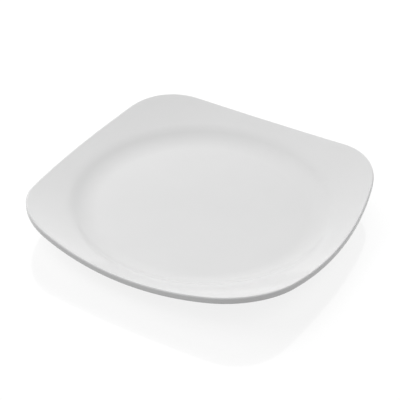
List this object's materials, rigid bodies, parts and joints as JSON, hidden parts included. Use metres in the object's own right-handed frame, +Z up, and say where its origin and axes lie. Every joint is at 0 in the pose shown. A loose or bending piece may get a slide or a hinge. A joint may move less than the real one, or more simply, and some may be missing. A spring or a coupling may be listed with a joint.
{
  "type": "square dinner plate",
  "caption": "Square dinner plate with bowed sides, round corners, a round coved well and a flared rim that sweeps up at the corners. Glazed porcelain on a bare foot ring.",
  "frame": {"origin": "on the table at the plate's axis, which is the middle of the foot ring's land", "axes": "+Z up along the plate's axis; X and Y square to the plate's sides"},
  "size_m": [0.26, 0.26, 0.0355],
  "materials": {
    "bare_porcelain": "fired, ground and unglazed",
    "white_glaze": "gloss white glaze"
  },
  "bodies": {
    "root": {"porcelain_body": "bare_porcelain", "outer_glaze": "white_glaze", "base_glaze": "white_glaze"}
  },
  "joints": []
}
